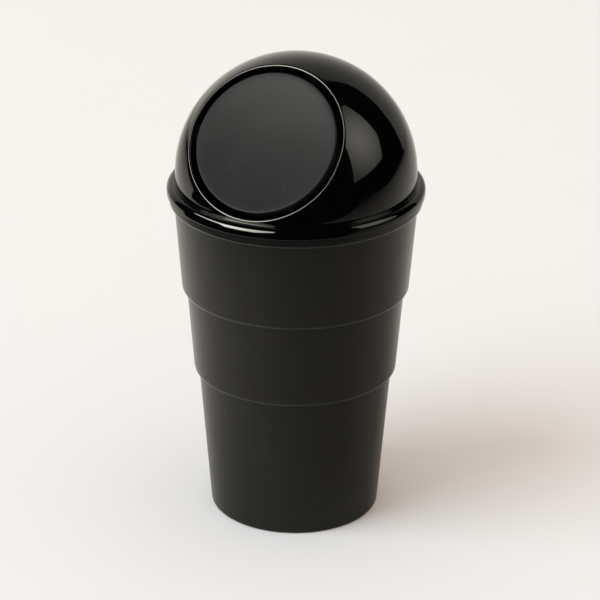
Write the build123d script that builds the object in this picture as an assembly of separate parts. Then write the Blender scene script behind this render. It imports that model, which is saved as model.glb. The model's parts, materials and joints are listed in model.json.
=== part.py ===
from build123d import *

import math
import os

# Bin for a car's cup holder: a stepped, tapered cup, a pull-off domed lid and a sprung push flap.
# Millimetres, +Z up. The origin is the centre of the base, and the flap faces -Y.

# Cup (wall_draft is the slope of its wall from upright, in degrees)
base_radius = 28.6
wall_draft = 4.65
lower_tier_height = 50.9
middle_tier_height = 29.7
upper_tier_height = 30.4
tier_step = 1.5
rim_band_height = 3.0
rim_band_step = 1.5
cup_wall = 1.5
cup_floor = 1.8
foot_ring_width = 3.5
foot_recess = 1.0
base_edge_round = 0.9
tier_edge_round = 0.4
rim_edge_round = 0.3
cup_inside_round = 0.6

# Lid
ring_overhang = 0.9
bead_height = 3.6
bead_land = 0.3
ring_edge_round = 0.35
foot_ledge_width = 0.6
foot_ledge_height = 0.35
ledge_edge_round = 0.25
dome_setback = 2.8
dome_rise = 2.7
lid_wall = 1.6
plug_depth = 8.0
plug_wall = 1.5
plug_clearance = 0.25
plug_edge_round = 0.5

# Slanted opening in the dome
opening_radius = 26.0
opening_lift = 1.46
opening_edge_round = 0.6

# Flap
flap_gap = 2.0
flap_recess = 0.35
flap_plate = 1.5
flap_wall = 1.4
flap_edge_round = 0.35
flap_land = 0.2
flap_dish = 1.0
stop_lap = 2.0
stop_width = 6.0
stop_thickness = 1.2
stop_clearance = 0.3

# Hinge
pin_radius = 1.0
pin_end_chamfer = 0.2
pin_hold_clearance = 0.02
pin_turn_clearance = 0.06
hinge_inset = 5.0
hinge_swing_clearance = 0.2
lug_wall = 0.9
lug_width = 2.5
ear_wall = 1.2
ear_width = 2.0
ear_side_clearance = 0.4

# Torsion spring
wire_diameter = 0.6
coil_clearance = 0.3
coil_turns = 8
coil_pitch = 0.68
coil_side_clearance = 0.9
leg_rest_clearance = 0.15
flap_leg_length = 11.0
rib_width = 1.6

# Heights and radii that follow from the cup
tier_heights = (lower_tier_height, middle_tier_height, upper_tier_height)
draft_slope = math.tan(math.radians(wall_draft))
floor_top = foot_recess + cup_floor

tier_feet = []
foot_radius = base_radius
foot_height = 0.0
for tier_height in tier_heights:
    tier_feet.append((foot_radius, foot_height))
    foot_radius += tier_height * draft_slope + tier_step
    foot_height += tier_height

rim_foot = foot_height
rim_top = rim_foot + rim_band_height
rim_radius = foot_radius - tier_step + rim_band_step


def outer_radius(tier, height):
    """Radius of a tier's drafted outer wall at a height."""
    radius, foot = tier
    return radius + (height - foot) * draft_slope


# Radii and heights of the lid
mouth_radius = outer_radius(tier_feet[-1], rim_top) - cup_wall
ring_radius = rim_radius + ring_overhang
dome_radius = ring_radius - dome_setback
dome_inside = dome_radius - lid_wall
bead_top = rim_top + bead_height
ledge_top = bead_top + foot_ledge_height
dome_centre = ledge_top + dome_rise
dome_foot = math.sqrt(dome_radius**2 - dome_rise**2)
ledge_radius = dome_foot + foot_ledge_width
bead_round = ring_radius - ledge_radius - bead_land

# Slope of the opening that keeps its lower edge at its lift above the foot of the dome
edge_slope = math.asin((opening_lift - dome_rise) / dome_radius)
opening_tilt = edge_slope + math.asin(opening_radius / dome_radius)

# Distances along the opening's own axis, out from the centre of the dome
flap_radius = opening_radius - flap_gap
stop_radius = opening_radius + stop_lap
opening_edge = math.sqrt(dome_radius**2 - opening_radius**2)
flap_face = opening_edge - flap_recess
plate_back = flap_face - flap_plate
stop_front = math.sqrt(dome_inside**2 - stop_radius**2) - stop_clearance
flap_rear = stop_front - stop_thickness

# Hinge line, in the opening's frame: across is X, up is along the opening's slope
lug_radius = pin_radius + lug_wall
ear_radius = pin_radius + ear_wall
wire_radius = wire_diameter / 2
coil_radius = pin_radius + coil_clearance + wire_radius
hinge_drop = max(lug_radius, coil_radius + wire_radius) + hinge_swing_clearance
hinge_up = opening_radius - hinge_inset
hinge_out = flap_rear - hinge_drop
lid_leg_angle = math.degrees(math.atan2(hinge_out, hinge_up))
coil_sweep = coil_turns + (90.0 - lid_leg_angle) / 360.0
coil_half_length = coil_sweep * coil_pitch / 2
leg_lean = coil_pitch / math.hypot(coil_pitch, 2 * math.pi * coil_radius)
ear_inner = coil_half_length + wire_radius + coil_side_clearance
ear_outer = ear_inner + ear_width
lug_inner = ear_outer + ear_side_clearance
lug_outer = lug_inner + lug_width

# Frame of the opening (Z out of the dome, Y up its slope) and of the hinge (Z along the pin)
opening_frame = Plane(
    origin=(0, 0, dome_centre),
    x_dir=(1, 0, 0),
    z_dir=(0, -math.cos(opening_tilt), math.sin(opening_tilt)),
)
hinge_frame = Plane(
    origin=opening_frame.from_local_coords((0, hinge_up, hinge_out)),
    x_dir=opening_frame.y_dir,
    z_dir=(1, 0, 0),
)


def round_corners(section, corners):
    """Round the corners of a sketched section, given as (radius, height, rounding)."""
    for radius, height, rounding in corners:
        if rounding > 0:
            fillet(section.vertices().sort_by_distance((radius, height))[0], rounding)


def turned(corners):
    """Solid of revolution about Z from corners given as (radius, height, rounding)."""
    with BuildPart() as solid:
        with BuildSketch(Plane.XZ) as section:
            with BuildLine():
                Polyline(*[(radius, height) for radius, height, _ in corners], close=True)
            make_face()
            round_corners(section, corners)
        revolve(axis=Axis.Z)
    return solid.part


def both_sides(shape, inner, outer):
    """A flat shape of the hinge frame, raised between two distances from the middle, on both sides."""
    one_side = Pos(0, 0, inner) * extrude(shape, outer - inner)
    return one_side + mirror(one_side, Plane.XY)


def make_cup():
    """Stepped cup with an even wall, a rim band and a foot ring."""
    outside = [
        (0, foot_recess, 0),
        (base_radius - foot_ring_width, foot_recess, 0),
        (base_radius - foot_ring_width, 0, 0),
        (base_radius, 0, base_edge_round),
    ]
    for tier, next_tier in zip(tier_feet, tier_feet[1:]):
        step_height = next_tier[1]
        outside.append((outer_radius(tier, step_height), step_height, 0))
        outside.append((*next_tier, tier_edge_round))
    outside.append((outer_radius(tier_feet[-1], rim_foot), rim_foot, 0))
    outside.append((rim_radius, rim_foot, tier_edge_round))
    outside.append((rim_radius, rim_top, rim_edge_round))

    inside = [(0, floor_top, 0)]
    inner_feet = [floor_top] + [foot + cup_wall for _, foot in tier_feet[1:]]
    inner_tops = inner_feet[1:] + [rim_top]
    for tier, low, high in zip(tier_feet, inner_feet, inner_tops):
        edge_round = rim_edge_round if high == rim_top else tier_edge_round
        inside.append((outer_radius(tier, low) - cup_wall, low, cup_inside_round))
        inside.append((outer_radius(tier, high) - cup_wall, high, edge_round))
    return turned(outside + inside[::-1])


def make_ring():
    """Rim ring: its bead, the ledge at the dome's foot and the plug skirt that fills the cup's mouth."""
    plug_top = mouth_radius - plug_clearance
    plug_foot = plug_top - plug_depth * draft_slope
    return turned(
        [
            (math.sqrt(dome_inside**2 - dome_rise**2), ledge_top, 0),
            (plug_top - plug_wall, rim_top, 0),
            (plug_foot - plug_wall, rim_top - plug_depth, plug_edge_round),
            (plug_foot, rim_top - plug_depth, plug_edge_round),
            (plug_top, rim_top, 0),
            (ring_radius, rim_top, ring_edge_round),
            (ring_radius, bead_top, bead_round),
            (ledge_radius, bead_top, 0),
            (ledge_radius, ledge_top, ledge_edge_round),
        ]
    )


def make_dome():
    """Spherical shell with its rounded opening, turned about the opening's axis and cut level at its foot."""
    inner_edge = math.sqrt(dome_inside**2 - opening_radius**2)
    outer_start = math.degrees(math.atan2(opening_edge, opening_radius))
    inner_start = math.degrees(math.atan2(inner_edge, opening_radius))
    with BuildPart() as shell:
        with BuildSketch(Plane.XZ) as section:
            with BuildLine():
                Line((opening_radius, inner_edge), (opening_radius, opening_edge))
                CenterArc((0, 0), dome_radius, outer_start, -90 - outer_start)
                Line((0, -dome_radius), (0, -dome_inside))
                CenterArc((0, 0), dome_inside, inner_start, -90 - inner_start)
            make_face()
            round_corners(section, [(opening_radius, opening_edge, opening_edge_round)])
        revolve(axis=Axis.Z)
    return split(opening_frame.location * shell.part, bisect_by=Plane.XY.offset(ledge_top))


def make_lid():
    """Lid in one piece: ring, dome and the two hinge lugs inside the dome."""
    lug_reach = dome_inside - hinge_up
    lug = Circle(lug_radius)
    lug += Rectangle(lug_reach, 2 * lug_radius, align=(Align.MIN, Align.CENTER))
    lug -= Circle(pin_radius + pin_hold_clearance)
    lugs = hinge_frame.location * both_sides(lug, lug_inner, lug_outer)
    inside_wall = Pos(0, 0, dome_centre) * Sphere(dome_inside + lid_wall / 2)
    return make_dome() + make_ring() + (lugs & inside_wall)


def make_flap_body():
    """Flap without its hinge: a plate that sinks to its middle, a side wall and a stop on each side."""
    inner_radius = flap_radius - flap_wall
    dish_radius = flap_radius - flap_edge_round - flap_land
    with BuildPart() as body:
        with BuildSketch(Plane.XZ) as section:
            with BuildLine():
                Line((0, plate_back - flap_dish), (0, flap_face - flap_dish))
                TangentArc((0, flap_face - flap_dish), (dish_radius, flap_face), tangent=(1, 0))
                Polyline(
                    (dish_radius, flap_face),
                    (flap_radius, flap_face),
                    (flap_radius, flap_rear),
                    (inner_radius, flap_rear),
                    (inner_radius, plate_back),
                )
                TangentArc((0, plate_back - flap_dish), (inner_radius, plate_back), tangent=(1, 0))
            make_face()
            round_corners(section, [(flap_radius, flap_face, flap_edge_round)])
        revolve(axis=Axis.Z)

    stop_ring = Circle(stop_radius) - Circle(flap_radius - flap_wall / 2)
    stops = stop_ring & Rectangle(2 * stop_radius, stop_width)
    return body.part + Pos(0, 0, flap_rear) * extrude(stops, stop_thickness)


def make_flap():
    """Round flap with its hinge ears and a rib for the spring behind."""
    flap = make_flap_body()
    rib_across = coil_half_length + flap_leg_length * leg_lean / 2
    rib_depth = plate_back - flap_rear
    rib_top = math.sqrt((flap_radius - flap_wall / 2) ** 2 - (rib_across + rib_width / 2) ** 2)
    rib_length = rib_top - hinge_up + flap_leg_length
    rib = Box(rib_width, rib_length, rib_depth, align=(Align.CENTER, Align.MAX, Align.MIN))
    flap += Pos(rib_across, rib_top, flap_rear) * rib

    ear = Circle(ear_radius)
    ear += Rectangle(2 * ear_radius, plate_back - hinge_out, align=(Align.CENTER, Align.MIN))
    ears = both_sides(ear, ear_inner, ear_outer)
    pin_hole = Cylinder(pin_radius + pin_turn_clearance, 2 * lug_outer)
    placed_flap = opening_frame.location * flap
    return placed_flap + hinge_frame.location * ears - hinge_frame.location * pin_hole


def make_pin():
    """Hinge pin, as long as the lugs are apart on their outer faces."""
    pin = Cylinder(pin_radius, 2 * lug_outer)
    ends = pin.edges().filter_by(GeomType.CIRCLE)
    return hinge_frame.location * chamfer(ends, pin_end_chamfer)


def make_spring():
    """Torsion spring: one leg lies behind the flap, the other against the inside of the dome."""
    coil = Helix(coil_pitch, coil_sweep * coil_pitch, coil_radius, center=(0, 0, -coil_half_length))
    leg_start = math.hypot(hinge_up, hinge_out) + coil_radius
    leg_reach = dome_inside - wire_radius - leg_rest_clearance
    leg_side = coil_half_length * leg_lean
    run_squared = leg_reach**2 - leg_start**2 - coil_half_length**2
    lid_leg_length = math.sqrt(run_squared + leg_side**2) - leg_side
    lid_leg = Line(coil @ 0 - (coil % 0) * lid_leg_length, coil @ 0)
    flap_leg = Line(coil @ 1, coil @ 1 + (coil % 1) * flap_leg_length)
    path = Wire([lid_leg, coil, flap_leg])
    section = Plane(origin=lid_leg @ 0, z_dir=lid_leg % 0) * Circle(wire_radius)
    wire = sweep(section, path=path)
    return hinge_frame.location * (Rot(0, 0, lid_leg_angle) * wire)


parts = {
    "bin_cup": make_cup(),
    "dome_lid": make_lid(),
    "push_flap": make_flap(),
    "hinge_pin": make_pin(),
    "torsion_spring": make_spring(),
}

os.makedirs("parts", exist_ok=True)
for name, solid in parts.items():
    export_step(solid, f"parts/{name}.step")
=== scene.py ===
"""Blender add-on, run as a script: the looks of a stepped bin for a car's cup holder, round its CAD frame."""

import json
import math

import bmesh
import bpy
import numpy as np
from mathutils import Matrix, Vector


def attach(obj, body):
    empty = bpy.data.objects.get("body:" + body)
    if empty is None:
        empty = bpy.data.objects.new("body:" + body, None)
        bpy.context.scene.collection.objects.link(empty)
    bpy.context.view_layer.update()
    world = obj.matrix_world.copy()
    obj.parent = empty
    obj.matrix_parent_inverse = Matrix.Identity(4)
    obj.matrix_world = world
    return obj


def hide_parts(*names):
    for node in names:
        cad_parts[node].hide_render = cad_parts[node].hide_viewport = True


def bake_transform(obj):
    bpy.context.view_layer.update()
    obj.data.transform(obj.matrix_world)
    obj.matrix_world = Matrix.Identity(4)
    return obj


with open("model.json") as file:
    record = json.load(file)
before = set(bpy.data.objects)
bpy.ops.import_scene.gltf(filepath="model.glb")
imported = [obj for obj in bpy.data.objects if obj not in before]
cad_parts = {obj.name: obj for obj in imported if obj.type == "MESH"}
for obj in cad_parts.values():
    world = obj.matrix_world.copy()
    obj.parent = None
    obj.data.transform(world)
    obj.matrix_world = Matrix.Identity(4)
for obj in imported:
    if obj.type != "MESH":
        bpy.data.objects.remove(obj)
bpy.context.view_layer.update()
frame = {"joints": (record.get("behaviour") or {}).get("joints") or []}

bl_info = {
    "name": "Car Trash Bin",
    "version": (1, 0, 0),
    "blender": (4, 5, 0),
    "location": "3D View > Sidebar > Car Bin",
    "description": "Stepped cup-holder bin with a gloss domed lid and a sprung push flap",
    "category": "Add Mesh",
}

MM = 0.001
SHARP_EDGE = math.radians(32.0)
WELD = 0.002 * MM

hinge_joint = next(joint for joint in frame["joints"] if joint["name"] == "flap_hinge")


# Settings


def length(name, description, millimetres):
    """A size that a user may change, shown in the scene's units."""
    return bpy.props.FloatProperty(
        name=name,
        description=description,
        default=millimetres * MM,
        min=0.0,
        precision=5,
        subtype="DISTANCE",
        unit="LENGTH",
    )


def angle(name, description, degrees):
    """An angle that a user may change."""
    return bpy.props.FloatProperty(
        name=name,
        description=description,
        default=math.radians(degrees),
        subtype="ANGLE",
        unit="ROTATION",
    )


def colour(name, description, values):
    """A colour that a user may change."""
    return bpy.props.FloatVectorProperty(
        name=name,
        description=description,
        default=values,
        size=3,
        min=0.0,
        max=1.0,
        subtype="COLOR",
    )


def share(name, description, value):
    """A share from 0 to 1 that a user may change."""
    return bpy.props.FloatProperty(
        name=name, description=description, default=value, min=0.0, max=1.0, subtype="FACTOR"
    )


def number(name, description, value):
    """A whole number that a user may change."""
    return bpy.props.IntProperty(name=name, description=description, default=value, min=1)


def strength(name, description, value):
    """A light's strength that a user may change."""
    return bpy.props.FloatProperty(name=name, description=description, default=value, min=0.0)


class CupSizes(bpy.types.PropertyGroup):
    """Sizes of the stepped cup."""

    base_radius: length("Base Radius", "Radius of the cup at the table", 28.6)
    wall_draft: angle("Wall Draft", "Slope of the wall from upright", 4.65)
    lower_tier: length("Lower Tier", "Height of the lowest tier", 50.9)
    middle_tier: length("Middle Tier", "Height of the middle tier", 29.7)
    upper_tier: length("Upper Tier", "Height of the top tier", 30.4)
    tier_step: length("Tier Step", "How far each tier stands out over the one below", 1.5)
    rim_height: length("Rim Height", "Height of the band under the lid", 3.0)
    rim_step: length("Rim Step", "How far the band stands out over the top tier", 1.5)
    wall: length("Wall", "Thickness of the wall", 1.5)
    floor: length("Floor", "Thickness of the floor", 1.8)
    foot_width: length("Foot Width", "Width of the ring that the cup stands on", 3.5)
    foot_recess: length("Foot Recess", "Depth of the hollow inside the foot ring", 1.0)
    base_round: length("Base Round", "Rounding of the lowest edge", 0.9)
    tier_round: length("Tier Round", "Rounding of the lower edge of each tier", 0.4)
    rim_round: length("Rim Round", "Rounding of the mouth", 0.3)
    inside_round: length("Inside Round", "Rounding of the corners inside the cup", 0.6)
    columns: number("Columns", "Faces round the cup", 288)
    corner_steps: number("Corner Steps", "Points on each rounded corner", 6)


class LidSizes(bpy.types.PropertyGroup):
    """Sizes of the domed lid and its slanted opening."""

    ring_overhang: length("Ring Overhang", "How far the ring stands out over the cup's band", 0.9)
    bead_height: length("Bead Height", "Height of the ring's bead", 3.6)
    bead_land: length("Bead Land", "Flat strip between the bead's rounding and the ledge", 0.3)
    ring_round: length("Ring Round", "Rounding of the ring's lower edge", 0.35)
    ledge_width: length("Ledge Width", "Width of the ledge round the foot of the dome", 0.6)
    ledge_height: length("Ledge Height", "Height of the ledge round the foot of the dome", 0.35)
    ledge_round: length("Ledge Round", "Rounding of the ledge", 0.25)
    dome_setback: length("Dome Setback", "How far the dome stands inside the ring", 2.8)
    dome_rise: length("Dome Rise", "Height of the dome's centre above its foot", 2.7)
    wall: length("Wall", "Thickness of the dome", 1.6)
    plug_depth: length("Plug Depth", "How far the skirt drops into the cup", 8.0)
    plug_wall: length("Plug Wall", "Thickness of the skirt", 1.5)
    plug_clearance: length("Plug Clearance", "Room between the skirt and the cup", 0.25)
    plug_round: length("Plug Round", "Rounding of the skirt's lower edges", 0.5)
    opening_radius: length("Opening Radius", "Radius of the opening for the flap", 26.0)
    opening_lift: length("Opening Lift", "Height of the opening's lowest point above the dome's foot", 1.46)
    opening_round: length("Opening Round", "Rounding of the opening's edge", 0.6)
    columns: number("Columns", "Faces round the lid", 288)
    dome_rings: number("Dome Rings", "Rings of faces from the opening to the foot of the dome", 72)
    corner_steps: number("Corner Steps", "Points on each rounded corner", 8)


class FlapSizes(bpy.types.PropertyGroup):
    """Sizes of the round push flap."""

    gap: length("Gap", "Groove between the flap and the opening", 2.0)
    recess: length("Recess", "How far the face lies below the opening's edge", 0.35)
    plate: length("Plate", "Thickness of the face", 1.5)
    wall: length("Wall", "Thickness of the side wall", 1.4)
    edge_round: length("Edge Round", "Rounding of the face's edge", 0.35)
    land: length("Land", "Flat strip between the rounded edge and the dish", 0.2)
    dish: length("Dish", "How far the face sinks to its middle", 1.0)
    stop_lap: length("Stop Lap", "How far the side stops reach behind the dome", 2.0)
    stop_width: length("Stop Width", "Width of each side stop", 6.0)
    stop_thickness: length("Stop Thickness", "Thickness of the side stops", 1.2)
    stop_clearance: length("Stop Clearance", "Room between the side stops and the dome", 0.3)
    rib_width: length("Rib Width", "Width of the rib that the spring pushes on", 1.6)
    columns: number("Columns", "Faces round the flap", 256)
    corner_steps: number("Corner Steps", "Points on each rounded corner", 8)


class HingeSizes(bpy.types.PropertyGroup):
    """Sizes of the hinge's pin, lugs and ears."""

    pin_radius: length("Pin Radius", "Radius of the pin", 1.0)
    pin_chamfer: length("Pin Chamfer", "Chamfer on the pin's ends", 0.2)
    pin_hold: length("Pin Hold", "Room round the pin in the lugs", 0.02)
    pin_turn: length("Pin Turn", "Room round the pin in the ears", 0.06)
    inset: length("Inset", "How far the pin lies inside the opening's radius", 5.0)
    swing_clearance: length("Swing Clearance", "Room between the flap and the lugs", 0.2)
    lug_wall: length("Lug Wall", "Plastic round the pin in the lugs", 0.9)
    lug_width: length("Lug Width", "Width of each lug", 2.5)
    ear_wall: length("Ear Wall", "Plastic round the pin in the ears", 1.2)
    ear_width: length("Ear Width", "Width of each ear", 2.0)
    ear_clearance: length("Ear Clearance", "Room between an ear and its lug", 0.4)
    columns: number("Columns", "Faces round the pin and its holes", 48)
    corner_steps: number("Corner Steps", "Points on each rounded corner", 3)


class SpringSizes(bpy.types.PropertyGroup):
    """Sizes of the torsion spring."""

    wire: length("Wire", "Diameter of the wire", 0.6)
    coil_clearance: length("Coil Clearance", "Room between the coil and the pin", 0.3)
    turns: number("Turns", "Whole turns of the coil", 8)
    pitch: length("Pitch", "Distance from one turn to the next", 0.68)
    side_clearance: length("Side Clearance", "Room between the coil and the ears", 0.9)
    rest_clearance: length("Rest Clearance", "Room between the lid's leg and the dome", 0.15)
    flap_leg: length("Flap Leg", "Length of the leg behind the flap", 11.0)
    turn_steps: number("Turn Steps", "Points on each turn", 40)
    wire_sides: number("Wire Sides", "Faces round the wire", 12)


class Finishes(bpy.types.PropertyGroup):
    """Colours and gloss of the plastics and the steel."""

    cup_colour: colour("Cup Colour", "Satin black of the cup", (0.0052, 0.0052, 0.0049))
    cup_roughness: share("Cup Roughness", "Roughness of the cup", 0.25)
    cup_sheen: share("Cup Sheen", "How strongly the cup mirrors its surroundings", 0.45)
    lid_colour: colour("Lid Colour", "Gloss black of the lid", (0.0012, 0.0012, 0.0012))
    lid_roughness: share("Lid Roughness", "Roughness of the lid", 0.04)
    flap_colour: colour("Flap Colour", "Satin dark grey of the flap", (0.0165, 0.0165, 0.0167))
    flap_roughness: share("Flap Roughness", "Roughness of the flap", 0.26)
    flap_sheen: share("Flap Sheen", "How strongly the flap mirrors its surroundings", 0.073)
    pin_colour: colour("Pin Colour", "Drawn steel of the pin", (0.62, 0.62, 0.64))
    spring_colour: colour("Spring Colour", "Steel of the spring wire", (0.5, 0.5, 0.52))
    steel_roughness: share("Steel Roughness", "Roughness of the steel", 0.28)


class StageSettings(bpy.types.PropertyGroup):
    """Floor, light and camera."""

    floor_colour: colour("Floor Colour", "Pale warm white of the floor", (0.84, 0.82, 0.80))
    mirrored_colour: colour("Mirrored Colour", "The floor where it shows in the gloss", (0.84, 0.82, 0.75))
    key_colour: colour("Key Colour", "Cool daylight of the soft light", (0.74, 0.862, 0.96))
    key_strength: strength("Key Strength", "Strength of the soft light on the left", 6.05)
    gloss_strength: strength("Gloss Strength", "Strength of that light where it shows in the gloss", 20.0)
    ambient_colour: colour("Ambient Colour", "Warm tint of the light from all round", (1.0, 0.905, 0.825))
    ambient: strength("Ambient", "Strength of the light from all round", 0.825)
    azimuth: angle("Azimuth", "Turn of the camera round the bin", 24.611)
    elevation: angle("Elevation", "Height of the camera as an angle", 24.234)
    roll: angle("Roll", "Turn of the camera about its own view", 0.3773)
    distance: length("Distance", "From the camera to the point it looks at", 1000.0)
    target_height: length("Target Height", "Height of the point that the camera looks at", 74.135)
    target_side: length("Target Side", "How far that point lies to the right of the axis", 1.531)
    focal_length: bpy.props.FloatProperty(
        name="Focal Length", description="Lens of the camera, in millimetres", default=177.56, unit="CAMERA"
    )


class CarBin(bpy.types.PropertyGroup):
    """All settings of the bin."""

    cup: bpy.props.PointerProperty(type=CupSizes, name="Cup", description="Sizes of the cup")
    lid: bpy.props.PointerProperty(type=LidSizes, name="Lid", description="Sizes of the lid")
    flap: bpy.props.PointerProperty(type=FlapSizes, name="Flap", description="Sizes of the flap")
    hinge: bpy.props.PointerProperty(type=HingeSizes, name="Hinge", description="Sizes of the hinge")
    spring: bpy.props.PointerProperty(type=SpringSizes, name="Spring", description="Sizes of the spring")
    finishes: bpy.props.PointerProperty(type=Finishes, name="Finishes", description="Colours and gloss")
    stage: bpy.props.PointerProperty(type=StageSettings, name="Stage", description="Floor, light and camera")


# Sizes that follow from the settings


class Layout:
    """Radii, heights and frames that follow from the bin's settings, in metres."""

    def __init__(self, settings):
        cup = settings.cup
        lid = settings.lid
        flap = settings.flap
        hinge = settings.hinge
        spring = settings.spring

        self.slope = math.tan(cup.wall_draft)
        tiers = cup.lower_tier + cup.middle_tier + cup.upper_tier
        top_tier_radius = cup.base_radius + tiers * self.slope + 2 * cup.tier_step
        self.rim_top = tiers + cup.rim_height
        self.rim_radius = top_tier_radius + cup.rim_step
        self.mouth_radius = top_tier_radius + cup.rim_height * self.slope - cup.wall

        self.ring_radius = self.rim_radius + lid.ring_overhang
        self.dome_radius = self.ring_radius - lid.dome_setback
        self.dome_inside = self.dome_radius - lid.wall
        self.bead_top = self.rim_top + lid.bead_height
        self.ledge_top = self.bead_top + lid.ledge_height
        self.dome_centre = Vector((0.0, 0.0, self.ledge_top + lid.dome_rise))
        self.dome_foot = math.sqrt(self.dome_radius**2 - lid.dome_rise**2)
        self.inner_foot = math.sqrt(self.dome_inside**2 - lid.dome_rise**2)
        self.ledge_radius = self.dome_foot + lid.ledge_width
        self.bead_round = self.ring_radius - self.ledge_radius - lid.bead_land
        self.plug_top = self.mouth_radius - lid.plug_clearance
        self.plug_foot = self.plug_top - lid.plug_depth * self.slope
        self.plug_bottom = self.rim_top - lid.plug_depth

        edge_slope = math.asin((lid.opening_lift - lid.dome_rise) / self.dome_radius)
        tilt = edge_slope + math.asin(lid.opening_radius / self.dome_radius)
        self.across = Vector((1.0, 0.0, 0.0))
        self.outward = Vector((0.0, -math.cos(tilt), math.sin(tilt)))
        self.upslope = self.outward.cross(self.across)

        self.flap_radius = lid.opening_radius - flap.gap
        self.stop_radius = lid.opening_radius + flap.stop_lap
        self.opening_edge = math.sqrt(self.dome_radius**2 - lid.opening_radius**2)
        self.flap_face = self.opening_edge - flap.recess
        self.stop_front = math.sqrt(self.dome_inside**2 - self.stop_radius**2) - flap.stop_clearance
        self.flap_rear = self.stop_front - flap.stop_thickness

        self.lug_radius = hinge.pin_radius + hinge.lug_wall
        self.ear_radius = hinge.pin_radius + hinge.ear_wall
        self.wire_radius = spring.wire / 2
        self.coil_radius = hinge.pin_radius + spring.coil_clearance + self.wire_radius
        reach = max(self.lug_radius, self.coil_radius + self.wire_radius)
        self.hinge_drop = reach + hinge.swing_clearance
        self.hinge_up = lid.opening_radius - hinge.inset
        self.hinge_out = self.flap_rear - self.hinge_drop
        self.leg_angle = math.atan2(self.hinge_out, self.hinge_up)
        self.coil_sweep = 2 * math.pi * spring.turns + math.pi / 2 - self.leg_angle
        self.coil_half = self.coil_sweep * spring.pitch / (4 * math.pi)
        self.leg_lean = spring.pitch / math.hypot(spring.pitch, 2 * math.pi * self.coil_radius)
        self.ear_inner = self.coil_half + self.wire_radius + spring.side_clearance
        self.ear_outer = self.ear_inner + hinge.ear_width
        self.lug_inner = self.ear_outer + hinge.ear_clearance
        self.lug_outer = self.lug_inner + hinge.lug_width

        leg_start = math.hypot(self.hinge_up, self.hinge_out) + self.coil_radius
        leg_reach = self.dome_inside - self.wire_radius - spring.rest_clearance
        leg_side = self.coil_half * self.leg_lean
        run_squared = leg_reach**2 - leg_start**2 - self.coil_half**2
        self.lid_leg = math.sqrt(run_squared + leg_side**2) - leg_side

        self.opening_frame = placed(self.across, self.upslope, self.outward, self.dome_centre)
        self.hinge_frame = placed(self.upslope, self.outward, self.across, Vector(hinge_joint["pos_m"]))


def placed(x_axis, y_axis, z_axis, origin):
    """Matrix of a frame from its axes and its origin."""
    turn = Matrix((x_axis, y_axis, z_axis)).transposed()
    return Matrix.Translation(origin) @ turn.to_4x4()


# Node trees


class Wire:
    """A node's socket that Python's operators work on: each adds a Math node."""

    def __init__(self, nodes, socket):
        self.nodes = nodes
        self.socket = socket

    def math(self, operation, *values):
        """Math node on the given values."""
        return self.nodes.add("ShaderNodeMath", {"operation": operation}, dict(enumerate(values)))

    def __add__(self, other):
        return self.math("ADD", self, other)

    def __radd__(self, other):
        return self.math("ADD", other, self)

    def __sub__(self, other):
        return self.math("SUBTRACT", self, other)

    def __rsub__(self, other):
        return self.math("SUBTRACT", other, self)

    def __mul__(self, other):
        return self.math("MULTIPLY", self, other)

    def __rmul__(self, other):
        return self.math("MULTIPLY", other, self)

    def __truediv__(self, other):
        return self.math("DIVIDE", self, other)

    def __rtruediv__(self, other):
        return self.math("DIVIDE", other, self)

    def __pow__(self, other):
        return self.math("POWER", self, other)

    def __neg__(self):
        return self.math("MULTIPLY", self, -1.0)


class Nodes:
    """One node tree, with a single way to add a node to it."""

    def __init__(self, tree):
        self.tree = tree

    def add(self, kind, settings=None, sockets=None, output=0):
        """Add a node, set it up, then feed its sockets; returns the chosen output."""
        node = self.tree.nodes.new(kind)
        for name, value in (settings or {}).items():
            if name == "stops":
                self.set_stops(node.color_ramp, value)
            elif name == "items":
                while len(node.index_switch_items) < value:
                    node.index_switch_items.new()
            else:
                setattr(node, name, value)
        for name, value in (sockets or {}).items():
            if isinstance(value, Wire):
                self.tree.links.new(value.socket, node.inputs[name])
            else:
                node.inputs[name].default_value = value
        return Wire(self, node.outputs[output]) if node.outputs else None

    @staticmethod
    def set_stops(ramp, stops):
        """Give a colour ramp its stops, as (place, grey)."""
        while len(ramp.elements) < len(stops):
            ramp.elements.new(1.0)
        for element, (place, grey) in zip(ramp.elements, stops):
            element.position = place
            element.color = (grey, grey, grey, 1.0)


class Inputs:
    """A tree's named inputs as attributes, one for each value."""


def new_tree(name, values):
    """Geometry Nodes tree with a named input for each value and one for the finish."""
    tree = bpy.data.node_groups.new(name, "GeometryNodeTree")
    tree.interface.new_socket("Geometry", in_out="OUTPUT", socket_type="NodeSocketGeometry")
    entry = tree.nodes.new("NodeGroupInput")
    nodes = Nodes(tree)
    inputs = Inputs()
    for label, value in values.items():
        kind = "NodeSocketInt" if isinstance(value, int) else "NodeSocketFloat"
        socket = tree.interface.new_socket(label, in_out="INPUT", socket_type=kind)
        socket.default_value = value
        setattr(inputs, label.lower().replace(" ", "_"), Wire(nodes, entry.outputs[label]))
    tree.interface.new_socket("Finish", in_out="INPUT", socket_type="NodeSocketMaterial")
    inputs.finish = Wire(nodes, entry.outputs["Finish"])
    return nodes, inputs


def end_tree(nodes, geometry, finish):
    """Close a tree: smooth shading with sharp edges, plain mesh, finish."""
    smooth = nodes.add("GeometryNodeSetShadeSmooth", {"domain": "FACE"}, {0: geometry})
    fold = nodes.add("GeometryNodeInputMeshEdgeAngle")
    sharp = nodes.add("FunctionNodeCompare", {"operation": "GREATER_THAN"}, {0: fold, 1: SHARP_EDGE})
    edged = nodes.add(
        "GeometryNodeSetShadeSmooth",
        {"domain": "EDGE"},
        {0: smooth, "Selection": sharp, "Shade Smooth": False},
    )
    plain = nodes.add("GeometryNodeRealizeInstances", {}, {0: edged})
    finished = nodes.add("GeometryNodeSetMaterial", {}, {0: plain, "Material": finish})
    nodes.add("NodeGroupOutput", {}, {"Geometry": finished})


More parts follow.
